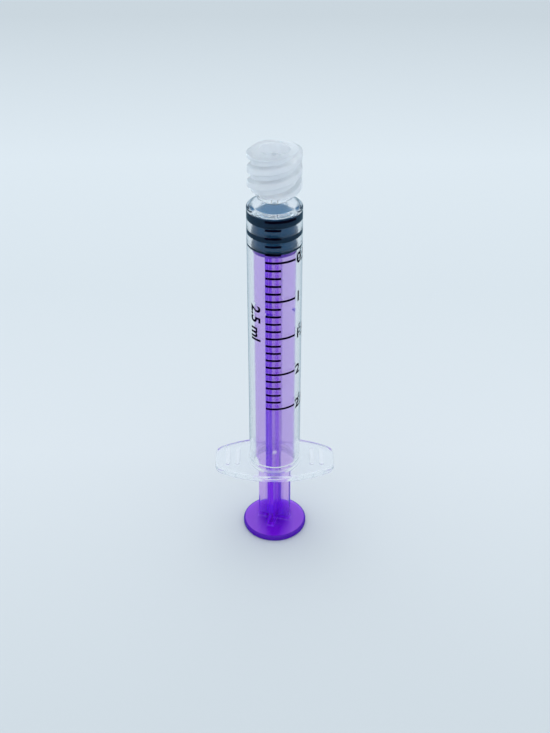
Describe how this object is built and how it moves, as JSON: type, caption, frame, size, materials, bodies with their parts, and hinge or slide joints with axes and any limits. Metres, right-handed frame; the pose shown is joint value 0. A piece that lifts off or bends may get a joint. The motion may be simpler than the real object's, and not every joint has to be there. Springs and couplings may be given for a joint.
{
  "type": "enteral syringe",
  "caption": "Small clear enteral syringe pressed home and stood on its thumb rest: winged barrel, coarse-threaded connector, ribbed purple plunger rod and dark rubber seal.",
  "frame": {"origin": "centre of the thumb rest's outer face, on the surface that the syringe stands on", "axes": "+Z along the syringe's axis, from the thumb rest to the connector; X along the finger flange"},
  "size_m": [0.0248, 0.0136, 0.0868],
  "materials": {
    "clear_polypropylene": "clear moulded plastic, glossy, with a dark blue printed scale",
    "purple_polypropylene": "translucent purple moulded plastic, glossy",
    "blue_black_rubber": "smooth dark blue rubber, slightly glossy with lubricant"
  },
  "bodies": {
    "plunger": {"plunger_rod": "purple_polypropylene", "plunger_seal": "blue_black_rubber"},
    "barrel": {"barrel": "clear_polypropylene"}
  },
  "joints": [
    {"name": "plunger_draw", "type": "slide", "parent": "plunger", "child": "barrel", "axis": [0, 0, 1], "range_m": [0, 0.0492]}
  ]
}
